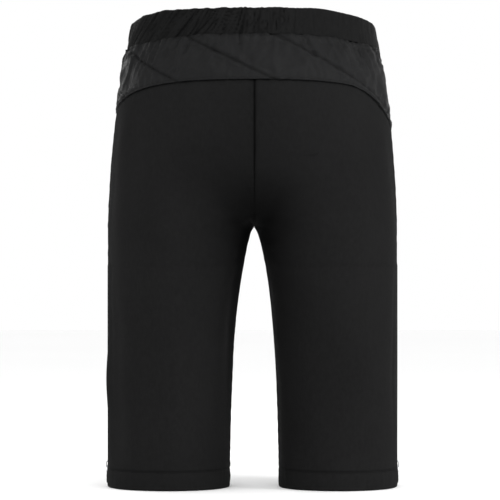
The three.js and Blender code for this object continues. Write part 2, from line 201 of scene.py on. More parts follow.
class Grid:
    """Points in rows and columns, with their outward normals and distances along the cloth."""

    def __init__(self, points, outward):
        self.points, self.outward = points, outward
        self.measure()

    def measure(self):
        across = np.gradient(self.points, axis=1)
        up = np.gradient(self.points, axis=0)
        normal = np.cross(across, up) * self.outward
        self.normals = normal / np.maximum(np.linalg.norm(normal, axis=-1, keepdims=True), 1e-12)
        self.u = self.along(1)
        self.v = self.along(0)

    def along(self, axis):
        step = np.linalg.norm(np.diff(self.points, axis=axis), axis=-1)
        start = np.zeros_like(np.take(step, [0], axis=axis))
        return np.cumsum(np.concatenate([start, step], axis=axis), axis=axis)

    def raised(self, height):
        return Grid(self.points + self.normals * np.asarray(height)[..., None], self.outward)

    def at(self, row, column):
        """Point and normal at fractional rows and columns."""
        rows, columns = self.points.shape[:2]
        row = np.clip(row, 0, rows - 1.001)
        column = np.clip(column, 0, columns - 1.001)
        r, c = row.astype(int), column.astype(int)
        fr, fc = (row - r)[..., None], (column - c)[..., None]

        def mix(field):
            low = field[r, c] * (1 - fc) + field[r, c + 1] * fc
            high = field[r + 1, c] * (1 - fc) + field[r + 1, c + 1] * fc
            return low * (1 - fr) + high * fr

        return mix(self.points), mix(self.normals)

    def part(self, rows, columns):
        return Grid(self.points[rows, columns], self.outward)

    def turned_in(self, outs, edges):
        """The grid with its edges ("low", "high", "first" or "last") turned in behind their seams."""
        points = self.points
        for edge in edges:
            axis = 0 if edge in ("low", "high") else 1
            at = [0] if edge in ("low", "first") else [-1]
            line, out = np.take(points, at, axis), np.take(outs, at, axis)
            strips = [line - out * depth for depth in TURN_STEPS]
            repeated_outs = [out] * len(strips)
            if at == [0]:
                strips = strips[::-1]
                points = np.concatenate([*strips, points], axis)
                outs = np.concatenate([*repeated_outs, outs], axis)
            else:
                points = np.concatenate([points, *strips], axis)
                outs = np.concatenate([outs, *repeated_outs], axis)
        return Grid(points, self.outward)


def new_object(name, data):
    piece = bpy.data.objects.new(name, data)
    bpy.context.scene.collection.objects.link(piece)
    return piece


def fitted(piece, node, slot, body="shorts"):
    """Rides a piece on its body, in place of its solid."""
    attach(piece, body)
    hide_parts(node)


def mesh_object(name, vertices, faces, material, uv=None, attributes=None):
    mesh = bpy.data.meshes.new(name)
    mesh.from_pydata(np.asarray(vertices).reshape(-1, 3).tolist(), [], np.asarray(faces).tolist())
    for key, values in (attributes or {}).items():
        data = mesh.attributes.new(key, "FLOAT", "POINT").data
        data.foreach_set("value", np.ravel(values).astype(np.float32))
    if uv is not None:
        corners = np.empty(len(mesh.loops), np.int32)
        mesh.loops.foreach_get("vertex_index", corners)
        layer = mesh.uv_layers.new(name="cloth")
        layer.data.foreach_set("uv", np.asarray(uv, np.float32).reshape(-1, 2)[corners].ravel())
    mesh.validate()
    mesh.shade_smooth()
    mesh.set_sharp_from_angle(angle=math.radians(50))
    for one in material if isinstance(material, (list, tuple)) else [material]:
        mesh.materials.append(one)
    return new_object(name, mesh)


def grid_faces(rows, columns, start=0, closed=False):
    index = np.arange(rows * columns).reshape(rows, columns) + start
    if closed:
        index = np.concatenate([index, index[:, :1]], axis=1)
    a, b, c, d = index[:-1, :-1], index[:-1, 1:], index[1:, 1:], index[1:, :-1]
    return np.stack([a, b, c, d], -1).reshape(-1, 4)


def shell(name, grid, near, far, material, closed=False, painted_shade=None):
    """A closed cloth layer between two depths under a grid, with its metric UVs."""
    rows, columns = grid.points.shape[:2]
    count = rows * columns
    outer = grid.points - grid.normals * np.asarray(near)[..., None]
    inner = grid.points - grid.normals * np.asarray(far)[..., None]
    face = grid_faces(rows, columns, closed=closed)
    ring = np.arange(count).reshape(rows, columns)
    edges = [(ring[0], False), (ring[-1], True)]
    if not closed:
        edges += [(ring[:, 0], True), (ring[:, -1], False)]
    rims = []
    for line, flip in edges:
        if closed:
            line = np.append(line, line[0])
        rim = np.stack([line[:-1], line[:-1] + count, line[1:] + count, line[1:]], -1)
        rims.append(rim[:, ::-1] if flip else rim)
    faces = np.concatenate([face, face[:, ::-1] + count, *rims])
    if grid.outward < 0:
        faces = faces[:, ::-1]
    uv = np.stack([grid.u, grid.v], -1)
    # the shade field is painted shade for the colour, darker in folds, seams and channels; the inside face
    # gets 0.3 of it
    shade = np.zeros((rows, columns)) if painted_shade is None else painted_shade
    piece = mesh_object(
        name, np.concatenate([outer.reshape(-1, 3), inner.reshape(-1, 3)]), faces, material,
        uv=np.concatenate([uv, uv]), attributes={"painted_shade": np.concatenate([shade, shade * 0.3])},
    )
    if isinstance(material, (list, tuple)) and len(material) > 1:
        slots = np.zeros(len(piece.data.polygons), np.int32)
        slots[len(face):2 * len(face)] = 1
        piece.data.polygons.foreach_set("material_index", slots)
    return piece


# ---- shaders ----


class Value:
    """A shader socket that adds and multiplies like a number."""

    def __init__(self, graph, socket):
        self.graph, self.socket = graph, socket

    def math(self, operation, *others):
        return self.graph.math(operation, self, *others)

    def __add__(self, other):
        return self.math("ADD", other)

    def __mul__(self, other):
        return self.math("MULTIPLY", other)

    __radd__, __rmul__ = __add__, __mul__

    def __sub__(self, other):
        return self.math("SUBTRACT", other)

    def __rsub__(self, other):
        return self.graph.math("SUBTRACT", other, self)

    def __truediv__(self, other):
        return self.math("DIVIDE", other)

    def ramp(self, low, high):
        """0 below low, 1 above high, and smooth between."""
        settings = {"interpolation_type": "SMOOTHSTEP"}
        sockets = {"Value": self, "From Min": low, "From Max": high}
        return Value(self.graph, self.graph.node("MapRange", settings, sockets).outputs["Result"])


class Graph:
    """The node tree of one Principled material."""

    def __init__(self, name, **constants):
        self.material = bpy.data.materials.new(name)
        self.material.use_nodes = True
        self.tree = self.material.node_tree
        self.shader = self.tree.nodes["Principled BSDF"]
        for key, value in constants.items():
            self.shader.inputs[key.replace("_", " ")].default_value = value

    def put(self, socket, value):
        if isinstance(value, Value):
            self.tree.links.new(value.socket, socket)
        elif isinstance(value, tuple) and len(value) == 3 and socket.type == "RGBA":
            socket.default_value = (*value, 1)
        else:
            socket.default_value = value

    def node(self, kind, settings=None, sockets=None):
        node = self.tree.nodes.new("ShaderNode" + kind)
        for key, value in (settings or {}).items():
            setattr(node, key, value)
        for key, value in (sockets or {}).items():
            self.put(node.inputs[key], value)
        return node

    def math(self, operation, *values):
        sockets = dict(enumerate(values))
        return Value(self, self.node("Math", {"operation": operation}, sockets).outputs[0])

    def cloth(self):
        """Distances across and along the cloth, in metres."""
        uv = self.node("UVMap", {"uv_map": "cloth"}).outputs["UV"]
        parts = self.node("SeparateXYZ", None, {"Vector": Value(self, uv)})
        return Value(self, parts.outputs["X"]), Value(self, parts.outputs["Y"])

    def place(self):
        return Value(self, self.node("TexCoord").outputs["Object"])

    def noise(self, scale, detail=2.0, stretch=None):
        where = self.place()
        if stretch:
            where = Value(self, self.node("Mapping", None, {"Vector": where, "Scale": stretch}).outputs[0])
        sockets = {"Vector": where, "Scale": scale, "Detail": detail}
        return Value(self, self.node("TexNoise", None, sockets).outputs["Fac"])

    def mix(self, factor, first, second):
        node = self.node("Mix", {"data_type": "RGBA"})
        self.put(node.inputs["Factor"], factor)
        self.put(node.inputs[6], first)
        self.put(node.inputs[7], second)
        return Value(self, node.outputs[2])

    def attribute(self, name):
        return Value(self, self.node("Attribute", {"attribute_name": name}).outputs["Fac"])

    def finish(self, color=None, roughness=None, height=None, depth=0.0003, **others):
        if color is not None:
            self.put(self.shader.inputs["Base Color"], color)
        if roughness is not None:
            self.put(self.shader.inputs["Roughness"], roughness)
        if height is not None:
            bump = self.node("Bump", None, {"Height": height, "Distance": depth, "Strength": 1.0})
            self.put(self.shader.inputs["Normal"], Value(self, bump.outputs[0]))
        for key, value in others.items():
            self.put(self.shader.inputs[key.replace("_", " ")], value)
        return self.material


def grey(level, tint=0.0):
    """A nearly neutral colour; tint leans it to blue."""
    return level * (1 - tint), level, level * (1 + 2 * tint)


def plain_weave(graph, pitch):
    """Height of a plain weave, 0 to 1: warp and weft threads pass over each other in turn."""
    u, v = graph.cloth()
    warp = (u * (math.pi / pitch)).math("COSINE").math("ABSOLUTE")
    weft = (v * (math.pi / pitch)).math("COSINE").math("ABSOLUTE")
    order = ((u / pitch).math("FLOOR") + (v / pitch).math("FLOOR")).math("PINGPONG", 1)
    return warp * order + weft * (1 - order)


def twill(graph, pitch):
    """Height of a fine diagonal rib."""
    u, v = graph.cloth()
    rib = ((u + v * 1.6) * (2 * math.pi / pitch)).math("SINE") * 0.5 + 0.5
    thread = ((u - v * 0.6) * (2 * math.pi / (pitch * 0.6))).math("SINE") * 0.25 + 0.5
    return rib * 0.7 + thread * 0.3


def woven(name, level, pitch, rib, rough, sheen, gloss=0.10, fleck=0.25, depth=0.00018, tint=0.004):
    """Matte cloth: threads, uneven dye, painted shade darkening the folds, seams and crotch, and polish on
    the raised places.
    """
    graph = Graph(name, Sheen_Weight=sheen, Sheen_Roughness=0.45, Specular_IOR_Level=gloss)
    threads = twill(graph, pitch) if rib else plain_weave(graph, pitch)
    dye = graph.noise(7.0, 3.0)
    melange = graph.noise(300.0, 5.0, stretch=(1, 1, 0.55))
    painted_shade = graph.attribute("painted_shade")
    shade = threads * 0.30 + dye * 0.45 + melange * fleck
    color = graph.mix(shade.ramp(0.12, 1.05), grey(level * 0.62, tint), grey(level * 1.42, tint))
    # painted shade: where the attribute marks shade in folds, seams and the crotch, the colour goes to a
    # near-black grey
    color = graph.mix(painted_shade, color, grey(level * 0.18, tint))
    roughness = rough + (dye - 0.5) * 0.16 + (melange - 0.5) * 0.08
    return graph.finish(color, roughness, threads * 0.8 + melange * 0.35, depth)


def fleece():
    graph = Graph("fleece_backing", Sheen_Weight=0.03, Sheen_Roughness=0.6, Specular_IOR_Level=0.1)
    tufts = graph.noise(420.0, 4.0)
    clumps = graph.noise(60.0, 3.0)
    color = graph.mix(tufts.ramp(0.3, 0.7), grey(0.007, 0.03), grey(0.016, 0.03))
    return graph.finish(color, 0.9 + (clumps - 0.5) * 0.15, tufts + clumps * 0.6, 0.0006)


def knit_mesh():
    """Open tricot: round holes in staggered rows."""
    graph = Graph("pocket_mesh", Sheen_Weight=0.2)
    u, v = graph.cloth()
    pitch = 0.0026
    row = (v / pitch).math("FLOOR")
    x = (u / pitch + row * 0.5).math("FRACT") - 0.5
    y = (v / pitch).math("FRACT") - 0.5
    far = (x * x + y * y).math("SQRT")
    solid = far.ramp(0.24, 0.3)
    yarn = graph.noise(1500.0, 2.0)
    color = graph.mix(yarn, grey(0.010, 0.03), grey(0.024, 0.03))
    return graph.finish(color, 0.75 + yarn * 0.1, far * 2 + yarn * 0.3, 0.0003, Alpha=solid)


def foam():
    graph = Graph("moulded_foam", Specular_IOR_Level=0.3)
    cells = graph.noise(1100.0, 3.0)
    cloud = graph.noise(18.0, 3.0)
    color = graph.mix(cells.ramp(0.3, 0.75), grey(0.030, 0.04), grey(0.060, 0.04))
    # painted shade in the channels between the foam cells
    color = graph.mix(graph.attribute("painted_shade"), color, grey(0.012, 0.04))
    return graph.finish(color, 0.82 + (cloud - 0.5) * 0.2, cells + cloud * 0.5, 0.0004)


def wadding():
    graph = Graph("polyester_wadding", Sheen_Weight=0.2)
    fibres = graph.noise(260.0, 5.0, stretch=(1, 1, 3))
    color = graph.mix(fibres.ramp(0.3, 0.7), grey(0.035), grey(0.075))
    return graph.finish(color, 0.9 + fibres * 0.1, fibres, 0.0010)


def elastic_knit():
    graph = Graph("elastic_webbing")
    u, v = graph.cloth()
    ribs = (v * (2 * math.pi / 0.0016)).math("SINE") * 0.5 + 0.5
    strands = (u * (2 * math.pi / 0.0011)).math("SINE") * 0.5 + 0.5
    color = graph.mix(ribs, grey(0.012), grey(0.035))
    return graph.finish(color, 0.7 + strands * 0.15, ribs * 0.7 + strands * 0.3, 0.0004)


def moulded_plastic(name, level, rough):
    graph = Graph(name, Specular_IOR_Level=0.5)
    grain = graph.noise(2200.0, 2.0)
    wear = graph.noise(90.0, 3.0)
    color = graph.mix(wear.ramp(0.4, 0.75), grey(level), grey(level * 1.7))
    return graph.finish(color, rough + (wear - 0.5) * 0.25, grain, 0.00005)


def gunmetal():
    """Plated zinc: fine scratches and brighter rubbed places."""
    graph = Graph("gunmetal", Metallic=1.0)
    scratch = graph.noise(700.0, 3.0, stretch=(1, 1, 0.08))
    rubbed = graph.noise(160.0, 3.0)
    color = graph.mix(rubbed.ramp(0.40, 0.65), grey(0.16, 0.03), grey(0.46, 0.02))
    return graph.finish(color, 0.26 + scratch * 0.22, scratch, 0.00003)


def satin_label():
    graph = Graph("label_satin", Sheen_Weight=0.3)
    threads = plain_weave(graph, 0.0004)
    soil = graph.noise(60.0, 3.0)
    color = graph.mix(soil.ramp(0.35, 0.8), (0.74, 0.74, 0.72), (0.62, 0.61, 0.58))
    return graph.finish(color, 0.42 + soil * 0.15, threads, 0.00008)


def thread_material():
    graph = Graph("sewing_thread", Sheen_Weight=0.002, Specular_IOR_Level=0.04)
    fibre = graph.noise(3000.0, 2.0)
    color = graph.mix(fibre, grey(0.007), grey(0.015))
    return graph.finish(color, 0.5 + fibre * 0.2, fibre, 0.00008)


SOFTSHELL = woven("softshell_face", 0.0099, 0.0008, True, 0.80, 0.002, gloss=0.02, fleck=0.45)
QUILT_CLOTH = woven("quilted_face", 0.0080, 0.0009, False, 0.42, 0.002, gloss=0.080, fleck=0.3, tint=0.015)
BAND_CLOTH = woven("waistband_face", 0.0074, 0.0009, False, 0.58, 0.002, gloss=0.03, fleck=0.3)
LINING = woven("lining_taffeta", 0.0080, 0.0007, False, 0.50, 0.004, gloss=0.06)
TAPE = woven("zip_tape_twill", 0.0070, 0.0009, True, 0.72, 0.002, gloss=0.03)
FLEECE = fleece()
MESH = knit_mesh()
FOAM = foam()
WADDING = wadding()
ELASTIC = elastic_knit()
TEETH = moulded_plastic("acetal_teeth", 0.010, 0.38)
TAB = moulded_plastic("soft_pull", 0.012, 0.6)
METAL = gunmetal()
LABEL = satin_label()
THREAD = thread_material()


# ---- sewing ----


def stitch_shape(length, radius):
    """A plump stitch along x: three rings of six between two tips."""
    angles = np.linspace(0, 2 * np.pi, 6, endpoint=False)
    rings = [
        np.stack([np.full(6, x), r * np.cos(angles), r * np.sin(angles)], -1)
        for x, r in ((-0.33 * length, 0.8 * radius), (0, radius), (0.33 * length, 0.8 * radius))
    ]
    vertices = np.concatenate([*rings, [[-length / 2, 0, -radius], [length / 2, 0, -radius]]])
    faces = []
    for k in range(6):
        n = (k + 1) % 6
        faces += [(18, n, k, k), (k, n, 6 + n, 6 + k)]
        faces += [(6 + k, 6 + n, 12 + n, 12 + k), (12 + k, 12 + n, 19, 19)]
    return vertices, [tuple(dict.fromkeys(f)) for f in faces]


def copies(name, shape, faces, places, material):
    """Copies of one small shape at (axes, point) places, as one mesh."""
    vertices = [shape @ axes.T + point for axes, point in places]
    starts = range(0, len(places) * len(shape), len(shape))
    mesh = bpy.data.meshes.new(name)
    all_faces = [tuple(k + i for k in f) for i in starts for f in faces]
    mesh.from_pydata(np.concatenate(vertices).tolist(), [], all_faces)
    mesh.materials.append(material)
    mesh.shade_smooth()
    return new_object(name, mesh)


def stitches(name, lines, pitch=0.0030, radius=0.00028, lift=0.00005):
    """Stitches along (points, normals) lines, joined in one piece."""
    shape, faces = stitch_shape(pitch * 0.78, radius)
    places = []
    for points, normals in lines:
        step = np.linalg.norm(np.diff(points, axis=0), axis=1)
        length = np.concatenate([[0], np.cumsum(step)])
        spots = np.arange(pitch / 2, length[-1], pitch)

        def along_line(where, values, length=length):
            return np.stack([np.interp(where, length, values[:, k]) for k in range(3)], -1)

        starts, outs = along_line(spots, points), along_line(spots, normals)
        tips = along_line(spots + pitch * 0.3, points)
        for point, tip, out in zip(starts, tips, outs, strict=True):
            along = tip - point
            if np.linalg.norm(along) < 1e-6:
                continue
            along /= np.linalg.norm(along)
            out = out - along * out.dot(along)
            out /= np.linalg.norm(out)
            places.append((np.stack([along, np.cross(out, along), out], -1), point + out * lift))
    piece = copies(name, shape, faces, places, THREAD)
    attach(piece, "shorts")
    return piece


def puff(grid, pinned, growth, pressure, cap):
    """Lets the cloth between its stitches swell and pucker, and gives the settled grid."""
    faces = grid_faces(*grid.points.shape[:2])
    if grid.outward < 0:
        faces = faces[:, ::-1]
    cloth = mesh_object("settling_cloth", grid.points, faces, SOFTSHELL)
    group = cloth.vertex_groups.new(name="sewn")
    for weight in np.unique(np.round(pinned, 2)):
        if weight > 0:
            index = np.nonzero(np.round(pinned, 2).ravel() == weight)[0]
            group.add(index.tolist(), float(weight), "REPLACE")
    modifier = cloth.modifiers.new("settle", "CLOTH")
    settings = modifier.settings
    settings.vertex_group_mass = "sewn"
    settings.quality = 6
    settings.mass = 0.15
    settings.tension_stiffness = settings.compression_stiffness = 12
    settings.shear_stiffness = 4
    settings.bending_stiffness = 0.3
    settings.shrink_min = -growth
    settings.use_pressure = True
    settings.uniform_pressure_force = pressure
    settings.effector_weights.gravity = 0
    for number in range(1, 19):
        bpy.context.scene.frame_set(number)
    settled = cloth.evaluated_get(bpy.context.evaluated_depsgraph_get()).data
    points = np.empty(len(settled.vertices) * 3, np.float32)
    settled.vertices.foreach_get("co", points)
    moved = points.reshape(grid.points.shape) - grid.points
    far = np.linalg.norm(moved, axis=-1, keepdims=True)
    moved *= np.minimum(1, cap / np.maximum(far, 1e-9))
    bpy.context.scene.frame_set(1)
    bpy.data.objects.remove(cloth)
    return Grid(grid.points + moved, grid.outward)


def groove(distance, width, depth):
    return -depth * bell(distance, width)


def cut_size(grid, closed=False):
    """Width, length and area of a cut, measured along its smooth grid before any fold, gather or relief."""
    p = grid.points
    if closed:
        p = np.concatenate([p, p[:, :1]], axis=1)
    across = np.linalg.norm(np.diff(p, axis=1), axis=-1).sum(1).max()
    up = np.linalg.norm(np.diff(p, axis=0), axis=-1).sum(0).max()
    diagonals = np.cross(p[1:, 1:] - p[:-1, :-1], p[1:, :-1] - p[:-1, 1:])
    area = np.linalg.norm(diagonals, axis=-1).sum() / 2
    return (float(across), float(up)), float(min(area, across * up))


def as_cloth(cut, closed=False):
    """Measures the size of the smooth grid that a cloth piece was cut to, and keeps nothing."""
    flat, area = cut_size(cut, closed)


# ---- lower panels ----


def within_half(points, face, side=None):
    """Keeps points on their own side of the centre seam and of the side seam."""
    points = points.copy()
    if side:
        points[..., 0] = CENTRE_X + side * np.maximum(side * (points[..., 0] - CENTRE_X), 0)
    points[..., 1] = MIDDLE_Y + face * np.maximum(face * (points[..., 1] - MIDDLE_Y), 0)
    return points


def panel_grid(face, side):
    """The skin under one lower panel, from the hem to the yoke seam."""
    columns = 96
    s = even_stations(columns, face, 0.22)
    levels = np.concatenate([
        np.linspace(0, 0.004, 5)[:-1],
        np.linspace(0.004, 0.290, 110)[:-1],
        np.linspace(0.290, CROTCH, 13)[:-1],
        np.linspace(CROTCH, SEAT_LEVEL, 36)[:-1],
    ])
    upper = np.linspace(0, 1, 40)[:, None]
    rows = np.broadcast_to(levels[:, None], (len(levels), columns))
    top = SEAT_LEVEL + upper * (yoke_seam(s, side) - SEAT_LEVEL)
    h = np.concatenate([rows, top])
    edge = np.arcsin(ZIP_HALF_OPENING / HEM_DEPTH) / np.pi * (1 - smooth((h - ZIP_TOP - 0.0005) / 0.008))
    across = edge + s * (1 - edge)
    points = skin(face, side, across, h)
    ease = 0.5 * bell(h - CROTCH, 0.016) * (1 - s**10)
    for _ in range(24):
        between = 0.5 * (points[:-2] + points[2:])
        points[1:-1] += ease[1:-1, :, None] * (between - points[1:-1])
    return Grid(within_half(points, face, side), side * face), h


def panel_relief(grid, h, face, side):
    """How far the panel stands above or below the skin, and how much painted shade darkens its seams, hem
    and crotch.
    """
    p = grid.points
    to_centre = grid.u[:, -1:] - grid.u
    to_side = grid.u
    to_yoke = grid.v[-1:] - grid.v
    seed = 40 + 3 * face + side
    above = smooth((h - CROTCH - 0.004) / 0.02)
    seamed = np.where(h > ZIP_TOP + 0.004, 1.0, 0.0)

    leg_x = side * 0.102
    angle = np.arctan2(p[..., 1] - MIDDLE_Y, p[..., 0] - leg_x) * 0.075
    drape = waves(np.stack([angle, p[..., 2]], -1), (0.052, 0.42), seed)
    sag = waves(np.stack([angle, p[..., 2]], -1), (0.15, 0.11), seed + 7)
    away = smooth(to_yoke / 0.05) * smooth(p[..., 2] / 0.05) * smooth(np.minimum(to_side, to_centre) / 0.02)
    folds = away * (0.0011 * drape + 0.0012 * sag)

    aside = side * (p[..., 0] - CENTRE_X)
    from_crotch = np.linalg.norm(p - np.array([CENTRE_X, MIDDLE_Y, CROTCH]), axis=-1)
    fan = np.arctan2(p[..., 2] - CROTCH + 0.03, aside + 0.01)
    drag = 0.0011 * np.cos(11 * fan + seed) * bell(from_crotch - 0.085, 0.045) * smooth(to_centre / 0.03)

    outer_crease = groove(to_side - 0.030 - 0.004 * np.sin(p[..., 2] * 22 + seed), 0.006, 0.0011)
    outer_crease = outer_crease * bell(h - 0.19, 0.13)

    pucker = waves(p, (0.011, 0.011, 0.011), seed + 2)
    seam = groove(to_centre, 0.0015, 0.0011) * (1 - bell(from_crotch, 0.05))
    seam = seam + groove(to_side, 0.0018, 0.0010) * seamed
    near_seams = bell(to_centre, 0.008) + bell(to_side, 0.007) * seamed + bell(to_yoke, 0.009)
    hem_line = p[..., 2] - HEM_TURN
    hem = groove(hem_line, 0.0011, 0.0006) + 0.0005 * bell(hem_line + 0.010, 0.008)
    hem_pucker = waves(np.stack([angle, p[..., 2]], -1), (0.0075, 0.05), seed + 3)
    gathered = 0.00035 * pucker * near_seams + 0.0003 * hem_pucker * bell(hem_line + 0.006, 0.012)
    tuck = groove(to_yoke, 0.0035, 0.0012)
    zip_edge = 0.0005 * bell(to_side - 0.003, 0.0025) + groove(to_side - ZIP_STITCHING, 0.0008, 0.0004)
    zip_edge = (1 - seamed) * zip_edge
    height = folds + drag * (0.4 + 0.6 * above) + outer_crease + seam + hem + gathered + tuck + zip_edge

    turned = np.clip(1 - p[..., 2] / 0.0016, 0, 1)
    height = height - 0.0009 * turned**2
    # painted shade: dark lines along the seams, the yoke edge and the hem stitching
    plain = 1 - 0.85 * bell(from_crotch, 0.075)
    shade = 0.85 * bell(to_centre, 0.0009) * plain + 0.85 * bell(to_yoke, 0.0016)
    shade = shade + 0.5 * bell(hem_line, 0.0009)
    shade = shade + 0.8 * bell(to_side, 0.0011) * seamed + 0.12 * bell(to_centre, 0.005)
    # painted shadow round the crotch and down the inner legs, where the legs shade each other
    seat_bottom = np.array([CENTRE_X, MIDDLE_Y + face * 0.06, CROTCH + 0.025])
    low_seat = np.linalg.norm((p - seat_bottom) / (1, 1.3, 1.2), axis=-1)
    painted_crotch_shade = 0.66 * bell(low_seat, 0.052) + 0.18 * bell(low_seat, 0.12)
    painted_crotch_shade = painted_crotch_shade + 0.25 * bell(to_centre, 0.055) * (1 - above)
    shade = shade + painted_crotch_shade * (1 - shade)
    return height, np.clip(shade, 0, 0.95)


PANELS = {}


def make_panels():
    for side_name, side in SIDES.items():
        for face_name, face in FACES.items():
            grid, h = panel_grid(face, side)
            height, shade = panel_relief(grid, h, face, side)
            raised = grid.raised(height)
            raised.points = within_half(raised.points, face, side)
            raised.points[..., 2] = np.maximum(raised.points[..., 2], 0)
            trunk = h[:, -1] >= CROTCH
            sewn_side = h[:, 0] > ZIP_TOP + 0.0085
            raised.points[trunk, -1, 0] = CENTRE_X
            raised.points[h[:, -1] <= CROTCH, -1, 1] = MIDDLE_Y
            raised.points[sewn_side, 0, 1] = MIDDLE_Y
            raised.measure()
            outs = grid.normals.copy()
            outs[trunk, -1, 0] = 0
            outs[~trunk, -1, 1] = 0
            outs[:, 0, 1] = 0
            outs /= np.linalg.norm(outs, axis=-1, keepdims=True)
            whole = raised.turned_in(outs, ("high", "first", "last"))
            turned = len(TURN_STEPS)
            shade = np.pad(shade, ((0, turned), (turned, turned)), mode="edge")
            node = f"{face_name}_panel_{side_name}"
            piece = shell(f"{node}_cloth", whole, 0.0, CLOTH, [SOFTSHELL, FLEECE], painted_shade=shade)
            fitted(piece, node, "softshell")
            cut = grid.turned_in(outs, ("high", "first", "last"))
            as_cloth(cut)
            PANELS[face, side] = raised, h


def line_at(grid, field, target, skip=0):
    """The line across a grid where a field takes one value in each column."""
    over = field - target
    columns = np.arange(skip, grid.points.shape[1] - skip)
    rows = []
    for c in columns:
        change = np.nonzero(np.diff(np.sign(over[:, c])))[0]
        r = change[0] if len(change) else 0
        rows.append(r + over[r, c] / (over[r, c] - over[r + 1, c] + 1e-12) if len(change) else np.nan)
    rows = np.array(rows, float)
    kept = ~np.isnan(rows)
    return grid.at(rows[kept], columns[kept].astype(float))


def column_line(grid, h, offset, from_end, low, high):
    """The line up a grid at one distance from its side seam or its centre seam."""
    distance = grid.u[:, -1:] - grid.u if from_end else grid.u
    picked = np.nonzero((h[:, -1 if from_end else 0] > low) & (h[:, -1 if from_end else 0] < high))[0]
    columns = []
    for r in picked:
        row = distance[r][::-1] if from_end else distance[r]
        c = np.interp(offset, row, np.arange(len(row)))
        columns.append(len(row) - 1 - c if from_end else c)
    return grid.at(picked.astype(float), np.array(columns))


def sew_panels():
    hem, seams = [], []
    for grid, h in PANELS.values():
        hem.append(line_at(grid, grid.points[..., 2], HEM_TURN, skip=1))
        hem.append(line_at(grid, grid.points[..., 2], HEM_TURN - 0.0016, skip=1))
        seams.append(column_line(grid, h, ZIP_STITCHING, False, 0.002, ZIP_TOP + 0.006))
    stitches("hem_stitching", hem)
    stitches("zip_edge_stitching", seams)


# ---- yokes ----


def yoke_grid(face):
    """The skin under a yoke, from the wearer's left side seam over the centre to the right one."""
    half = even_stations(96, face, 0.50)
    s = np.concatenate([half, half[-2::-1]])
    side = np.where(np.arange(len(s)) < len(half), 1, -1)
    rows = np.linspace(0, 1, 44)[:, None]
    low = yoke_seam(s, side)
    h = low + rows * (band_edge(s) - low)
    return Grid(within_half(skin(face, side[None, :], s[None, :], h), face), face)


def make_yoke(face_name, face):
    base = yoke_grid(face)
    middle = base.points.shape[1] // 2
    across = base.u[:, middle:middle + 1] - base.u  # distance to the wearer's left of the centre
    lines = [
        (base.points[..., 2] - QUILT_LEVEL - QUILT_SLOPE * (across - at)) / math.hypot(1, QUILT_SLOPE)
        for at in QUILT_LINES[face]
    ]
    nearest = np.min(np.abs(lines), axis=0)
    to_top = base.v[-1:] - base.v
    to_bottom = base.v
    ends = np.minimum(base.u, base.u[:, -1:] - base.u)
    beside = 0.0005 * bell(nearest - 0.0045, 0.0025)
    start = base.raised(groove(nearest, QUILT_CHANNEL, 0.0015) + 0.0004 + beside)
    sewn = (nearest < 0.0011) | (to_top < 0.0012) | (to_bottom < 0.0012) | (ends < 0.0012)
    settled = puff(start, sewn.astype(float), growth=0.020, pressure=1.2, cap=0.0035)

    p = base.points
    fine = waves(p, (0.010, 0.010, 0.012), 5)
    gather = waves(np.stack([across + 0.25 * p[..., 2], p[..., 2]], -1), (0.013, 0.15), 6)
    soft = waves(np.stack([across - 0.9 * p[..., 2], p[..., 2]], -1), (0.040, 0.25), 8)
    fade = smooth(nearest / 0.012) * smooth(to_bottom / 0.015)
    spread = across + 0.55 * p[..., 2] * np.sign(across)
    radial = waves(np.stack([spread, p[..., 2]], -1), (0.0085, 0.09), 9)
    rays = bell(to_top - 0.008, 0.026) * smooth((np.abs(across) - 0.03) / 0.05)
    height = (
        0.0011 * np.clip(gather - 0.1, -0.2, 1) * bell(to_top, 0.022)
        + 0.0016 * np.clip(radial, -0.5, 1) * rays
        + 0.0010 * soft * fade
        + 0.00035 * fine * (bell(nearest, 0.010) + bell(to_bottom, 0.008))
        + 0.0006 * bell(to_bottom - 0.004, 0.004)
    )
    if face == BACK:
        for place, length, deep in CREASES:
            wander = across - place - 0.0012 * np.sin(to_top * 190)
            lasting = 1 - smooth((to_top - length * 0.7) / (length * 0.3))
            height = height + groove(wander, 0.0016, deep) * lasting
    cloth = settled.raised(height)
    cloth.points = within_half(cloth.points, face)
    cloth.measure()
    # painted shade in the quilting channels and under the waistband's edge
    shade = np.clip(0.75 * bell(nearest, 0.0009) + 0.6 * bell(to_top, 0.0014), 0, 0.9)
    name = f"{face_name}_yoke"
    inner = slice(2, -2)
    face_cloth = cloth.turned_in(base.normals, ("low", "high", "first", "last"))
    filling = cloth.part(inner, inner)
    for label, node, grid, material, slot in (
        ("cloth", name, face_cloth, QUILT_CLOTH, "quilted_cloth"),
        ("wadding_fill", f"{name}_wadding", filling, WADDING, "wadding"),
        ("lining_cloth", f"{name}_lining", filling, LINING, "lining"),
    ):
        near, far = YOKE_LAYERS[label]
        painted_shade = np.pad(shade, len(TURN_STEPS), mode="edge") if grid is face_cloth else shade[inner, inner]
        piece = shell(f"{name}_{label}", grid, near, far, material, painted_shade=painted_shade)
        fitted(piece, node, slot)
    crossing = [line for line in lines if (np.diff(np.sign(line), axis=0) != 0).any()]
    quilting = [line_at(cloth, line, 0.0, skip=2) for line in crossing]
    sewing = [(points, normals) for points, normals in quilting if len(points) > 3]
    edge = line_at(cloth, to_bottom, 0.0026, skip=1)
    waist = line_at(cloth, to_top, 0.0026, skip=1)
    stitches(f"{name}_quilting", sewing)
    stitches(f"{name}_edge_stitching", [edge, waist])


# ---- waistband ----


def waist_loop(columns_per_quarter):
    """Stations all the way round the waist: back from left to right, then front from right to left."""
    back = even_stations(columns_per_quarter, BACK, 0.545)
    front = even_stations(columns_per_quarter, FRONT, 0.545)
    loop = [(BACK, 1, s) for s in back] + [(BACK, -1, s) for s in back[-2::-1]]
    return loop + [(FRONT, -1, s) for s in front[1:]] + [(FRONT, 1, s) for s in front[-2:0:-1]]


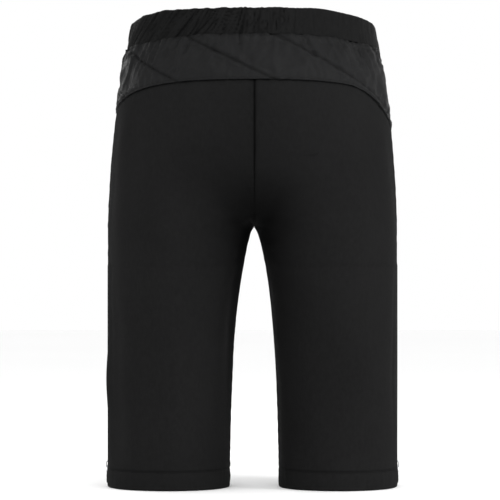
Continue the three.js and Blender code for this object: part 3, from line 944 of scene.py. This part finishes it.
def waist_ring(profile, columns_per_quarter=120):
    """A closed grid round the waist through (rise above the band seam, depth) points."""
    columns = []
    step = 0.0004
    for face, side, s in waist_loop(columns_per_quarter):
        lowered, reach = (0.18, 0.50) if side > 0 else (0.29, 0.64)
        narrow = lowered * max(0, 1 - (s / reach) ** 2)
        share = np.array([r for r, _ in profile]) / BAND_HEIGHT
        depth = np.array([d for _, d in profile])
        edge = band_edge(s)
        h = edge + share * (BAND_SEAM + BAND_HEIGHT * (1 - narrow) - edge)
        at = skin(face, side, s, h)
        up = skin(face, side, s, h + step) - skin(face, side, s, h - step)
        low, high = max(0, s - 0.004), min(1, s + 0.004)
        along = (skin(face, side, high, h) - skin(face, side, low, h)) * face * side
        out = np.cross(along, up)
        if s in (0, 1):
            out[:, 1 if s == 0 else 0] = 0
        out /= np.linalg.norm(out, axis=-1, keepdims=True)
        columns.append(at - out * depth[:, None])
    return np.stack(columns, axis=1)


def ring_normals(points):
    """Outward normals of a ring whose rows run up the outside, over the top and down inside."""
    wrapped = np.concatenate([points[:, -1:], points, points[:, :1]], axis=1)
    across = wrapped[:, 2:] - wrapped[:, :-2]
    up = np.gradient(points, axis=0)
    normal = np.cross(across, up)
    return normal / np.linalg.norm(normal, axis=-1, keepdims=True)


def make_waistband():
    radius = 0.0026
    turned = [(0.0, d) for d in (TURN_IN, 0.0032, 0.0020, 0.0009)]
    straight = turned + [(r, 0.0) for r in np.linspace(0, BAND_HEIGHT - radius, 24)]
    turn = [
        (BAND_HEIGHT - radius + radius * math.sin(a), radius - radius * math.cos(a))
        for a in np.linspace(0, math.pi, 11)[1:-1]
    ]
    inside = [(r, 2 * radius) for r in np.linspace(BAND_HEIGHT - radius, 0.0006, 12)]
    profile = straight + turn + inside
    points = waist_ring(profile)
    grid = Grid(points, 1)
    grid.normals = ring_normals(points)
    rise = np.array([r for r, _ in profile])[:, None]
    step = np.linalg.norm(np.diff(points[0], axis=0), axis=1)
    around = np.concatenate([[0], np.cumsum(step)])[None, :]
    whole = around[0, -1] + np.linalg.norm(points[0, 0] - points[0, -1])
    x = points[..., 0]
    back = points[..., 1] > MIDDLE_Y

    lean = -0.12 - 0.80 * smooth((x + 0.02) / 0.10)
    lean = np.where(back, lean, 0.1)
    turn_angle = 2 * np.pi * around / whole
    shifted = turn_angle + 2 * np.pi * lean * rise / whole
    circle = np.stack([np.cos(shifted), np.sin(shifted), np.broadcast_to(rise, x.shape) / 0.14], -1)
    radius_of_turn = whole / (2 * np.pi)
    wide = waves(circle, (0.020 / radius_of_turn, 0.020 / radius_of_turn, 1), 21)
    narrow = waves(circle, (0.0085 / radius_of_turn, 0.0085 / radius_of_turn, 0.6), 22)
    strength = np.where(back, 1 - 0.72 * smooth((-x - 0.02) / 0.05), 0.6)
    tight = waves(circle, (0.0060 / radius_of_turn, 0.0060 / radius_of_turn, 0.5), 23)
    folded = 0.42 * bell(narrow, 0.10) + 0.26 * bell(tight, 0.13)
    valley = (folded + 0.4 * np.clip(narrow - 0.5, 0, 1)) * strength
    height = 0.0010 * wide * strength + 0.0006 * narrow * strength - 0.0030 * valley
    middle = np.sin(np.pi * np.clip(rise / BAND_HEIGHT, 0, 1)) ** 0.35
    height = height * (0.35 + 0.65 * middle) + 0.0006 * middle
    outer = np.arange(len(profile))[:, None] < len(straight) + 4
    height = np.where(outer, height, height * 0.35)
    height = np.maximum(height, -0.0019)
    # painted shade in the gather valleys of the band's outer face
    shade = np.clip(1.7 * valley, 0, 0.85) * outer
    grid.points = points + grid.normals * height[..., None]
    grid.normals = ring_normals(grid.points)
    grid.u = np.broadcast_to(around, x.shape)
    grid.v = np.broadcast_to(np.cumsum(np.append(0, np.abs(np.diff(rise[:, 0])) + 0.0004))[:, None], x.shape)
    casing = shell("waistband_casing_cloth", grid, 0.0, 0.0008, BAND_CLOTH, closed=True, painted_shade=shade)
    fitted(casing, "waistband_casing", "waistband")
    as_cloth(Grid(points, 1), closed=True)

    band = waist_ring([(r, 0.0019) for r in np.linspace(0.0025, BAND_HEIGHT - 0.004, 12)], 60)
    inner = Grid(band, 1)
    inner.normals = ring_normals(band)
    elastic = shell("waist_elastic_band", inner, 0.0, 0.0016, ELASTIC, closed=True)
    fitted(elastic, "waist_elastic", "elastic")
    as_cloth(inner, closed=True)


# ---- hems ----


def make_hem_facings():
    for name, side in SIDES.items():
        start = np.arcsin(0.0150 / HEM_DEPTH) / np.pi
        s = even_stations(90, BACK, 0.01, start)
        path = [(BACK, one) for one in s] + [(FRONT, one) for one in s[-2::-1]]
        h = np.linspace(0.0008, HEM_TURN, 10)
        points = np.stack([skin(face, side, one, h) for face, one in path], axis=1)
        grid = Grid(points, side)
        ripple = waves(np.stack([grid.u, grid.v], -1), (0.02, 0.06), 31 + side) * 0.0002
        piece = shell(f"hem_facing_{name}_cloth", grid.raised(ripple), 0.0021, 0.0030, [FLEECE, SOFTSHELL])
        fitted(piece, f"hem_facing_{name}", "softshell")
        as_cloth(grid)


# ---- side zips ----


def tooth_shape(width, height, depth):
    """A moulded tooth: a block with chamfered ends, narrower at its head."""
    half = [(0.0, -0.5), (0.62, -0.5), (0.72, -0.34), (1.0, -0.42)]
    outline = half + [(a, -b) for a, b in half[::-1]]
    layers = [(-0.5, 0.82), (-0.36, 1.0), (0.36, 1.0), (0.5, 0.82)]
    vertices = [
        (depth * x, width * (0.5 + (a - 0.5) * k), height * b * k)
        for x, k in layers for a, b in outline
    ]
    n = len(outline)
    faces = [tuple(range(n))[::-1], tuple(range(3 * n, 4 * n))]
    for layer in range(3):
        for k in range(n):
            a, b = layer * n + k, layer * n + (k + 1) % n
            faces.append((a, b, b + n, a + n))
    return np.array(vertices), faces


def with_outward_faces(piece):
    form = bmesh.new()
    form.from_mesh(piece.data)
    bmesh.ops.recalc_face_normals(form, faces=form.faces)
    form.to_mesh(piece.data)
    form.free()


def make_teeth(name, where, way):
    low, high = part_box(f"zip_teeth_{where}_{name}")
    centre_x = (low.x + high.x) / 2
    pitch = 0.0024
    shape, faces = tooth_shape(0.0034, 0.0014, 0.0026)
    count = int((high.z - low.z) / pitch)
    axes = np.diag([1, -way, 1])
    foot = MIDDLE_Y + way * 0.0029
    shift = 0.0 if way > 0 else pitch / 2
    places = [(axes, np.array([centre_x, foot, low.z + 0.0008 + shift + i * pitch])) for i in range(count)]
    piece = copies(f"zip_teeth_{where}_{name}_row", shape, faces, places, TEETH)
    piece.data.set_sharp_from_angle(angle=math.radians(35))
    with_outward_faces(piece)
    fitted(piece, f"zip_teeth_{where}_{name}", "zip_teeth")


def make_tape(name, side, where, way):
    low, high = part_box(f"zip_tape_{where}_{name}")
    x = (low.x + high.x) / 2
    inner = abs(low.y - MIDDLE_Y) if way > 0 else abs(high.y - MIDDLE_Y)
    outer = abs(high.y - MIDDLE_Y) if way > 0 else abs(low.y - MIDDLE_Y)
    across = np.linspace(inner - 0.0012, outer, 14)
    z = np.linspace(low.z, high.z, 120)
    yy, zz = np.meshgrid(MIDDLE_Y + way * across, z)
    ripple = 0.00012 * np.sin(zz * 2 * np.pi / 0.031 + yy * 300)
    curve = -0.0009 * smooth((np.abs(yy - MIDDLE_Y) - 0.006) / 0.010)
    points = np.stack([np.full_like(yy, x) + side * (ripple + curve + 0.0003), yy, zz], -1)
    piece = shell(f"zip_tape_{where}_{name}_cloth", Grid(points, side * way), 0.0, 0.0006, TAPE)
    fitted(piece, f"zip_tape_{where}_{name}", "zip_tape")
    flat = (float(outer - inner) + 0.0012, high.z - low.z)


def make_guard(name, side):
    low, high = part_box(f"zip_guard_{name}")
    x = high.x if side > 0 else low.x
    y, z = np.linspace(low.y, high.y, 16), np.linspace(low.z, high.z, 110)
    yy, zz = np.meshgrid(y, z)
    swell = 0.0003 * np.sin(zz * 2 * np.pi / 0.045) * np.cos((yy - MIDDLE_Y) * 180)
    points = np.stack([np.full_like(yy, x) + side * swell, yy, zz], -1)
    piece = shell(f"zip_guard_{name}_cloth", Grid(points, side), 0.0, 0.0008, LINING)
    fitted(piece, f"zip_guard_{name}", "lining")


def bevelled(name, outline, depth, place, material, bevel, segments=3):
    """A thick outline with rounded edges; place maps (a, b, thickness) to the frame."""
    form = bmesh.new()
    base = [form.verts.new((a, b, 0)) for a, b in outline]
    face = form.faces.new(base)
    made = bmesh.ops.extrude_face_region(form, geom=[face])
    for vertex in (g for g in made["geom"] if isinstance(g, bmesh.types.BMVert)):
        vertex.co.z += depth
    bmesh.ops.recalc_face_normals(form, faces=form.faces)
    rim = [e for e in form.edges if e.calc_face_angle(0) > 0.6]
    bmesh.ops.bevel(form, geom=rim, offset=bevel, segments=segments, affect="EDGES", profile=0.5)
    for vertex in form.verts:
        vertex.co = place(*vertex.co)
    bmesh.ops.recalc_face_normals(form, faces=form.faces)
    mesh = bpy.data.meshes.new(name)
    form.to_mesh(mesh)
    form.free()
    mesh.materials.append(material)
    mesh.shade_smooth()
    mesh.set_sharp_from_angle(angle=math.radians(40))
    return new_object(name, mesh)


def joined(name, parts):
    """One mesh object out of several."""
    form = bmesh.new()
    for part in parts:
        form.from_mesh(part.data)
    mesh = parts[0].data.copy()
    mesh.name = name
    form.to_mesh(mesh)
    form.free()
    for part in parts:
        bpy.data.objects.remove(part)
    mesh.set_sharp_from_angle(angle=math.radians(40))
    return new_object(name, mesh)


def make_slider(name, side):
    """Two plates with rounded shoulders, flanges that wrap the teeth, and an arched bridge."""
    low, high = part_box(f"zip_slider_{name}")
    half = (high.y - low.y) / 2
    centre_x = side * 0.1685
    length = high.z - low.z

    def put(z, y, x):
        return Vector((centre_x + side * x, MIDDLE_Y + y, low.z + z))

    plate = [
        (0, -0.62 * half), (0.0012, -0.86 * half), (0.0038, -half), (length - 0.0015, -0.80 * half),
        (length, -0.62 * half), (length, 0.62 * half), (length - 0.0015, 0.80 * half),
        (0.0038, half), (0.0012, 0.86 * half), (0, 0.62 * half),
    ]
    parts = [
        bevelled("outer", plate, 0.0014, lambda a, b, t: put(a, b, 0.0021 + t), METAL, 0.0005),
        bevelled("inner", plate, 0.0014, lambda a, b, t: put(a, b, -0.0032 + t), METAL, 0.0004),
    ]
    for way in (-1, 1):
        wall = [(0.0030, way * (half - 0.0010)), (0.0030, way * (half - 0.0001)),
                (length - 0.0018, way * (0.82 * half)), (length - 0.0018, way * (0.82 * half - 0.0009))]
        parts.append(bevelled("lip", wall, 0.0016, lambda a, b, t: put(a, b, 0.0007 + t), METAL, 0.0002, 2))
        parts.append(bevelled("lip", wall, 0.0014, lambda a, b, t: put(a, b, -0.0020 + t), METAL, 0.0002, 2))
    wedge = [(0.0, -0.0003), (0.0040, -0.0002), (0.0040, 0.0002), (0.0, 0.0003)]
    parts.append(
        bevelled("divider", wedge, 0.0042, lambda a, b, t: put(a, b, -0.0020 + t), METAL, 0.00008, 1)
    )
    arch = [
        (0.0020, 0.0), (0.0021, 0.0028), (0.0034, 0.0038),
        (0.0088, 0.0038), (0.0108, 0.0022), (0.0120, 0.0),
    ]
    under = [
        (0.0108, 0.0), (0.0098, 0.0017), (0.0084, 0.0029),
        (0.0040, 0.0029), (0.0032, 0.0023), (0.0031, 0.0),
    ]
    bridge = bevelled(
        "bridge", arch + under, 0.0018, lambda a, b, t: put(a, t - 0.0009, 0.0034 + b), METAL, 0.00022, 2
    )
    parts.append(bridge)
    piece = joined(f"zip_slider_{name}_body", parts)
    fitted(piece, f"zip_slider_{name}", "zip_metal", f"zip_slider_{name}")


def make_pull(name, side):
    low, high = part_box(f"zip_pull_loop_{name}")
    x = (low.x + high.x) / 2
    curve = bpy.data.curves.new(f"zip_pull_loop_{name}_wire", "CURVE")
    curve.dimensions = "3D"
    curve.bevel_depth = 0.00048
    curve.bevel_resolution = 3
    curve.resolution_u = 6
    top, bottom, half = high.z - 0.0005, low.z + 0.0005, 0.0019
    corner = 0.0006
    route = [
        (-half + corner, top), (half - corner, top), (half, top - corner), (half * 0.95, (top + bottom) / 2),
        (half, bottom + corner), (half - corner, bottom), (-half + corner, bottom), (-half, bottom + corner),
        (-half * 0.95, (top + bottom) / 2), (-half, top - corner),
    ]
    spline = curve.splines.new("POLY")
    spline.points.add(len(route) - 1)
    for point, (y, z) in zip(spline.points, route, strict=True):
        point.co = (x, MIDDLE_Y + y, z, 1)
    spline.use_cyclic_u = True
    curve.materials.append(METAL)
    loop = new_object(curve.name, curve)
    fitted(loop, f"zip_pull_loop_{name}", "zip_metal", f"zip_pull_{name}")

    low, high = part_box(f"zip_pull_tab_{name}")
    half, length = (high.y - low.y) / 2, high.z - low.z
    body = [(length, -0.42 * half), (length - 0.003, -0.55 * half), (half * 1.1, -half)]
    body += [(half * (1 - math.sin(t)), -half * math.cos(t)) for t in np.linspace(0.1, math.pi - 0.1, 13)]
    body += [(half * 1.1, half), (length - 0.003, 0.55 * half), (length, 0.42 * half)]
    thick = (high.x - low.x) * 0.9

    def put(a, b, t):
        return Vector(((low.x + high.x) / 2 + side * (t - thick / 2), MIDDLE_Y + b, low.z + a))

    parts = [bevelled("tab", body, thick, put, TAB, 0.0005)]
    for k in range(4):
        a = 0.0035 + 0.0017 * k
        rib = [(a, -0.62 * half), (a + 0.0008, -0.62 * half), (a + 0.0008, 0.62 * half), (a, 0.62 * half)]
        parts.append(
            bevelled("rib", rib, 0.0004, lambda p, q, t: put(p, q, thick - 0.0001 + t), TAB, 0.00015, 2)
        )
    tab = joined(f"zip_pull_tab_{name}_moulding", parts)
    fitted(tab, f"zip_pull_tab_{name}", "pull_tab", f"zip_pull_{name}")


def make_stops(name):
    """Crimped metal stops, rounded over the ends of the zip."""
    nodes = [f"zip_hem_stop_front_{name}", f"zip_hem_stop_back_{name}", f"zip_end_stop_{name}"]
    for node in nodes:
        low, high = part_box(node)
        outline = [(low.y, low.z), (high.y, low.z), (high.y, high.z), (low.y, high.z)]

        def put(y, z, t, low=low):
            return Vector((low.x + t, y, z))

        piece = bevelled(f"{node}_crimp", outline, high.x - low.x, put, METAL, 0.0006, 4)
        fitted(piece, node, "zip_metal")


def make_zips():
    for name, side in SIDES.items():
        for where, way in FACES.items():
            make_teeth(name, where, way)
            make_tape(name, side, where, way)
        make_guard(name, side)
        make_slider(name, side)
        make_pull(name, side)
        make_stops(name)


# ---- pads, pockets and label ----


def cell_pattern(u, v, size):
    """Channels between rounded hexagonal cells, 0 on a cell and 1 in a channel."""
    rows = size * math.sqrt(3) / 2
    best = np.full(np.shape(u), 1e9)
    second = best.copy()
    base_row, base_column = np.floor(v / rows), np.floor(u / size)
    for dr in (-1, 0, 1, 2):
        for dc in (-1, 0, 1, 2):
            row = base_row + dr
            x = (base_column + dc + 0.5 * (row % 2)) * size
            far = np.hypot(u - x, v - row * rows)
            second = np.where(far < best, best, np.minimum(second, far))
            best = np.minimum(best, far)
    return 1 - smooth((second - best - 0.0006) / 0.0030)


def station_points(path, levels):
    """Skin points over (face, side, s) stations and the levels."""
    return np.stack([skin(face, side, s, levels) for face, side, s in path], axis=1)


def make_pad(name, path, outward, levels, thickness, margin):
    node = f"{name}_pad"
    grid = Grid(station_points(path, levels), outward)
    rows, columns = grid.points.shape[:2]
    r = np.linspace(-1, 1, rows)[:, None]
    c = np.linspace(-1, 1, columns)[None, :]
    edge = np.clip(1 - (np.abs(r) ** 5 + np.abs(c) ** 5), 0, 1) ** 0.5
    u, v = grid.u - grid.u.mean(), grid.v - grid.v.mean()
    channel = cell_pattern(u, v, PAD_CELL) * edge
    near = PAD_DEPTH + 0.0024 * (1 - edge)
    far = PAD_DEPTH + thickness * (0.45 + 0.5 * edge) - 0.0022 * channel
    # the channels between the cells get painted shade
    pad = shell(f"{node}_foam", grid, near, np.maximum(far, near + 0.0008), FOAM, painted_shade=channel * 0.7)
    fitted(pad, node, "foam")
    dome = np.clip(1 - (np.abs(r) ** 8 + np.abs(c) ** 8), 0, 1) ** 0.6
    over = POCKET_DEPTH + (thickness + 0.0002) * dome
    sheet = Grid(grid.points + (grid.points - grid.points.mean((0, 1))) * margin, outward)
    pocket = shell(f"{node}_pocket_cloth", sheet, over, over + 0.0005, MESH)
    fitted(pocket, f"{node}_pocket", "mesh")
    as_cloth(sheet)
    binding(f"{node}_pocket_binding", sheet, BINDING_DEPTH)


def binding(name, grid, depth):
    """A folded tape round a pocket's edge."""

    def around(field):
        return np.concatenate([field[0], field[1:, -1], field[-1, -2::-1], field[-2:0:-1, 0]])

    loop = around(grid.points - grid.normals * depth)
    normals = around(grid.normals)
    along = np.roll(loop, -1, 0) - np.roll(loop, 1, 0)
    along /= np.maximum(np.linalg.norm(along, axis=1, keepdims=True), 1e-9)
    across = np.cross(normals, along)
    section = [
        (-0.0040, -0.0005), (0.0040, -0.0005), (0.0044, 0.0),
        (0.0040, 0.0006), (-0.0040, 0.0006), (-0.0044, 0.0),
    ]
    rings = np.stack([loop + across * a - normals * b for a, b in section], axis=1)
    count, sides = rings.shape[:2]
    faces = []
    for i in range(count):
        for k in range(sides):
            a, b = i * sides + k, i * sides + (k + 1) % sides
            c, d = ((i + 1) % count) * sides + (k + 1) % sides, ((i + 1) % count) * sides + k
            faces.append((a, b, c, d))
    length = np.concatenate([[0], np.cumsum(np.linalg.norm(np.diff(loop, axis=0), axis=1))])
    uv = np.stack([np.repeat(length, sides), np.tile(np.arange(sides) * 0.004, count)], -1)
    piece = mesh_object(name, rings, faces, TAPE, uv=uv, attributes={"painted_shade": np.zeros(count * sides)})
    with_outward_faces(piece)
    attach(piece, "shorts")


def make_pads():
    seat = [(BACK, 1, s) for s in np.linspace(0.74, 1, 30)]
    seat += [(BACK, -1, s) for s in np.linspace(1, 0.74, 30)[1:]]
    make_pad("tailbone", seat, 1, np.linspace(0.380, 0.432, 30), 0.010, 0.12)
    for name, side in SIDES.items():
        hip = [(FRONT, side, s) for s in np.linspace(0.30, 0.0, 36)]
        hip += [(BACK, side, s) for s in np.linspace(0.0, 0.30, 36)[1:]]
        make_pad(f"hip_{name}", hip, side, np.linspace(0.302, 0.418, 56), 0.009, 0.07)
        thigh = [(FRONT, side, s) for s in np.linspace(0.20, 0.62, 44)]
        make_pad(f"thigh_{name}", thigh, -side, np.linspace(0.110, 0.262, 70), 0.008, 0.06)


def make_label():
    s = even_stations(40, BACK, 0.52)[-6:]
    levels = np.linspace(BAND_SEAM - 0.042, BAND_SEAM - 0.004, 20)
    grid = Grid(station_points([(BACK, 1, one) for one in s], levels), 1)
    curl = 0.0012 * (1 - smooth(grid.v / 0.02)) * np.sin(grid.u * 160 + 0.4)
    piece = shell("care_label_ribbon", grid.raised(curl), 0.0080, 0.0083, LABEL)
    fitted(piece, "care_label", "label")
    as_cloth(grid)


# ---- stage ----


def area_light(name, place, aim, size, power):
    light = bpy.data.lights.new(name, "AREA")
    light.shape = "RECTANGLE"
    light.size, light.size_y = size
    light.energy = power
    lamp = new_object(name, light)
    lamp.location = place
    lamp.rotation_euler = (Vector(aim) - Vector(place)).to_track_quat("-Z", "Y").to_euler()


def make_stage():
    scene = bpy.context.scene
    world = bpy.data.worlds.new("studio")
    world.use_nodes = True
    world.node_tree.nodes["Background"].inputs["Color"].default_value = (1, 1, 1, 1)
    world.node_tree.nodes["Background"].inputs["Strength"].default_value = 1.0
    scene.world = world
    scene.view_settings.view_transform = "Standard"

    graph = Graph("pale_floor", Roughness=0.9, Specular_IOR_Level=0.1)
    tone = graph.noise(1.3, 2.0)
    floor_material = graph.finish(graph.mix(tone, (0.955, 0.955, 0.955), (0.975, 0.975, 0.975)), 0.9)
    bpy.ops.mesh.primitive_plane_add(size=14, location=(0, 0, -0.0004))
    floor = bpy.context.object
    floor.name = "floor"
    floor.data.materials.append(floor_material)

    distance = 3.6
    view_width = 0.6
    camera_data = bpy.data.cameras.new("camera")
    camera_data.lens = camera_data.sensor_width * distance / view_width
    camera = new_object("camera", camera_data)
    camera.location = (0.003, MIDDLE_Y + distance, 0.2832)
    camera.rotation_euler = (math.radians(90), 0, math.radians(180))
    scene.camera = camera

    middle = (0, 0, 0.30)
    area_light("strip_right", (-1.6, 0.9, 0.9), middle, (0.6, 1.6), 20)
    area_light("strip_left", (1.6, 0.7, 0.7), middle, (0.6, 1.6), 3)
    area_light("overhead", (0, 1.3, 2.0), middle, (1.6, 1.0), 15)
    area_light("front_fill", (0.9, -1.6, 1.4), middle, (1.2, 1.2), 9)


make_stage()
make_panels()
sew_panels()
for yoke_name, yoke_face in FACES.items():
    make_yoke(yoke_name, yoke_face)
make_waistband()
make_hem_facings()
make_zips()
make_pads()
make_label()
